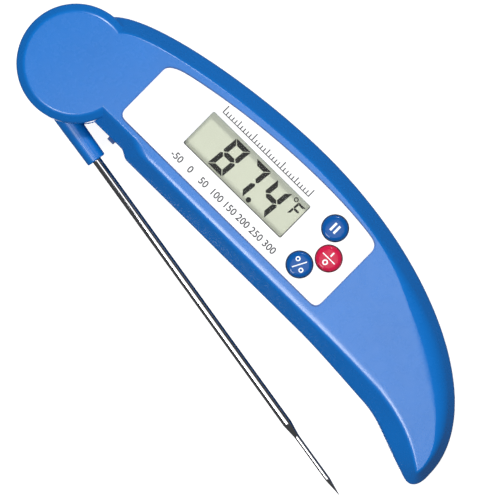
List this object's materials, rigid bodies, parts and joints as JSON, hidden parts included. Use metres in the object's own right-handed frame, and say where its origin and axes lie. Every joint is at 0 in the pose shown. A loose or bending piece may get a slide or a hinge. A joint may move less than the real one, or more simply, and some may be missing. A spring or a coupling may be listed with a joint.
{
  "type": "folding probe thermometer",
  "caption": "Folding digital food thermometer: curved blue casing, white display panel, domed buttons and a swing-out steel probe.",
  "frame": {"origin": "probe pivot axis where it meets the casing's flat back", "axes": "+X along the straight edge from the pivot to the tail, +Y towards the bowed edge, +Z out of the display"},
  "size_m": [0.1555, 0.0607, 0.0202],
  "materials": {
    "casing_blue": "satin moulded ABS",
    "panel_white": "smooth printed polycarbonate",
    "window_clear": "clear acrylic",
    "lcd_glass": "liquid crystal cell",
    "lcd_film": "polarising film",
    "lcd_backing": "brushed reflector foil",
    "frame_white": "moulded",
    "contact_rubber": "layered conductive silicone",
    "board_green": "solder mask on glass fibre",
    "epoxy_black": "cured epoxy drop",
    "ceramic_tan": "ceramic",
    "switch_black": "moulded",
    "steel_bright": "drawn stainless tube",
    "screw_steel": "zinc plated",
    "contact_nickel": "nickel plated spring steel",
    "cell_wrap": "printed sleeve",
    "wire_red": "PVC",
    "wire_black": "PVC",
    "nylon_natural": "nylon",
    "rubber_black": "moulded",
    "hub_blue": "satin moulded ABS",
    "sensor_black": "glass bead",
    "lead_brown": "enamelled wire",
    "epoxy_grey": "heat-conducting epoxy",
    "button_blue": "domed and polished",
    "button_red": "domed and polished"
  },
  "bodies": {
    "casing": {"front_shell": "casing_blue", "rear_shell": "casing_blue", "overlay_panel": "panel_white", "display_window": "window_clear", "lcd_polariser": "lcd_film", "lcd_front_glass": "lcd_glass", "lcd_rear_glass": "lcd_glass", "lcd_reflector": "lcd_backing", "lcd_frame": "frame_white", "zebra_strips": "contact_rubber", "circuit_board": "board_green", "chip_blob": "epoxy_black", "chip_capacitors": "ceramic_tan", "switch_bodies": "switch_black", "board_screws": "screw_steel", "battery_cell": "cell_wrap", "positive_contact": "contact_nickel", "negative_spring": "contact_nickel", "positive_lead": "wire_red", "negative_lead": "wire_black", "sensor_cable": "wire_black", "casing_screws": "screw_steel", "friction_washer": "nylon_natural", "fold_bumper": "rubber_black"},
    "probe": {"probe_hub": "hub_blue", "probe_sheath": "steel_bright", "thermistor": "sensor_black", "thermistor_leads": "lead_brown", "probe_potting": "epoxy_grey"},
    "hold_key": {"hold_button": "button_blue", "hold_plunger": "switch_black"},
    "power_key": {"power_button": "button_red", "power_plunger": "switch_black"},
    "unit_key": {"unit_button": "button_blue", "unit_plunger": "switch_black"},
    "battery_cover": {"battery_door": "casing_blue"}
  },
  "joints": [
    {"name": "probe_fold", "type": "hinge", "parent": "casing", "child": "probe", "pos_m": [0, 0, 0.0095], "axis": [0, 0, 1], "range_deg": [-170.5, 9.3]},
    {"name": "hold_press", "type": "slide", "parent": "casing", "child": "hold_key", "axis": [0, 0, -1], "range_m": [0, 0.0004], "stiffness_N_per_m": 2500},
    {"name": "power_press", "type": "slide", "parent": "casing", "child": "power_key", "axis": [0, 0, -1], "range_m": [0, 0.0004], "stiffness_N_per_m": 2500},
    {"name": "unit_press", "type": "slide", "parent": "casing", "child": "unit_key", "axis": [0, 0, -1], "range_m": [0, 0.0004], "stiffness_N_per_m": 2500},
    {"name": "battery_door_tilt", "type": "hinge", "parent": "casing", "child": "battery_cover", "pos_m": [0.0759, 0.0112, 0], "axis": [0.2164, 0.9763, 0], "range_deg": [0, 60]}
  ]
}
